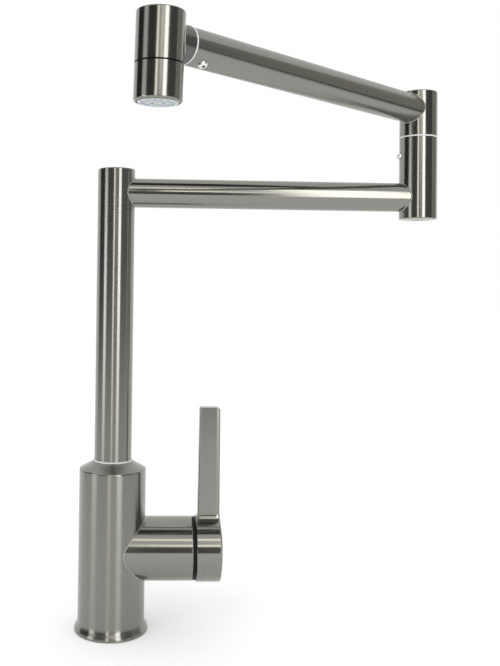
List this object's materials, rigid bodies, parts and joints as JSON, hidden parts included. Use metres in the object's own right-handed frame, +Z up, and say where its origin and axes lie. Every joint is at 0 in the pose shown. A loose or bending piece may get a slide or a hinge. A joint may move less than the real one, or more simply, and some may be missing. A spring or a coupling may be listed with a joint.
{
  "type": "kitchen mixer tap",
  "caption": "Deck mounted single lever kitchen mixer with a tall riser and a folding double jointed spout ending in a swivelling outlet head.",
  "frame": {"origin": "centre of the foot's underside, on the deck", "axes": "+Z up along the riser; +X along the valve hub and, at rest, along the lower spout arm; the front is -Y"},
  "size_m": [0.273, 0.2071, 0.4098],
  "materials": {
    "brushed_nickel": "fine brushed nickel over stainless steel",
    "dark_trim": "matt black",
    "white_nylon": "smooth",
    "brass": "machined",
    "rubber": "moulded",
    "cartridge_plastic": "moulded",
    "ceramic": "polished ceramic",
    "pale_acetal": "translucent pale blue-white",
    "polished_steel": "polished",
    "grey_nylon": "moulded"
  },
  "bodies": {
    "base": {"body_shell": "brushed_nickel", "hub_tube": "brushed_nickel", "base_gasket": "rubber", "base_insert": "brass", "valve_core": "brass", "inlet_tube_hot": "brass", "inlet_tube_cold": "brass", "spout_socket": "brass", "cartridge_base": "cartridge_plastic", "port_seal_cold": "rubber", "port_seal_hot": "rubber", "port_seal_outlet": "rubber", "fixed_disc": "ceramic", "cartridge_housing": "cartridge_plastic", "cartridge_nut": "brass", "dome_cover": "dark_trim", "riser_washer": "white_nylon"},
    "spindle": {"spindle_carrier": "grey_nylon", "pivot_pin": "polished_steel"},
    "lever": {"handle": "brushed_nickel", "stem": "polished_steel", "handle_grub_screw": "polished_steel"},
    "disc": {"moving_disc": "ceramic"},
    "riser": {"riser_tube": "brushed_nickel", "riser_cap": "brushed_nickel", "riser_spigot": "brass", "riser_oring_lower": "rubber", "riser_oring_upper": "rubber", "riser_clip": "white_nylon", "lower_arm_tube": "brushed_nickel", "elbow_lower_post": "brushed_nickel", "elbow_lower_cap": "brushed_nickel", "elbow_socket": "brass", "elbow_washer": "white_nylon", "elbow_screw": "polished_steel"},
    "upper_arm": {"elbow_spigot": "brass", "elbow_oring_lower": "rubber", "elbow_oring_upper": "rubber", "elbow_upper_post": "brushed_nickel", "elbow_top_cap": "brushed_nickel", "upper_arm_tube": "brushed_nickel", "arm_end_bush": "brass", "arm_screw": "polished_steel", "head_washer": "white_nylon"},
    "head": {"head_neck": "brushed_nickel", "head_oring_inner": "rubber", "head_oring_outer": "rubber", "head_body": "brushed_nickel", "head_top_cap": "brushed_nickel", "head_groove_ring": "dark_trim", "aerator_sleeve": "brushed_nickel", "aerator_housing": "pale_acetal", "flow_straightener": "cartridge_plastic", "aerator_gasket": "rubber"}
  },
  "joints": [
    {"name": "lever_turn", "type": "hinge", "parent": "base", "child": "spindle", "pos_m": [0.05, 0, 0.05984], "axis": [1, 0, 0], "range_deg": [-50, 50]},
    {"name": "lever_lift", "type": "hinge", "parent": "spindle", "child": "lever", "pos_m": [0.05, 0, 0.05984], "axis": [0, 1, 0], "range_deg": [0, 24]},
    {"name": "disc_slide", "type": "slide", "parent": "spindle", "child": "disc", "axis": [0, 0, 1], "range_m": [0, 0.0038]},
    {"name": "riser_swivel", "type": "hinge", "parent": "base", "child": "riser", "pos_m": [0, 0, 0.12], "axis": [0, 0, 1], "continuous": true},
    {"name": "elbow_swivel", "type": "hinge", "parent": "riser", "child": "upper_arm", "pos_m": [0.2314, 0, 0.36], "axis": [0, 0, 1], "continuous": true},
    {"name": "head_swivel", "type": "hinge", "parent": "upper_arm", "child": "head", "pos_m": [0.04046, -0.15352, 0.3944], "axis": [-0.7793, -0.6266, 0], "continuous": true}
  ],
  "couplings": [
    {"joint": "disc_slide", "follows": "lever_lift", "m_per_rad": 0.009}
  ]
}
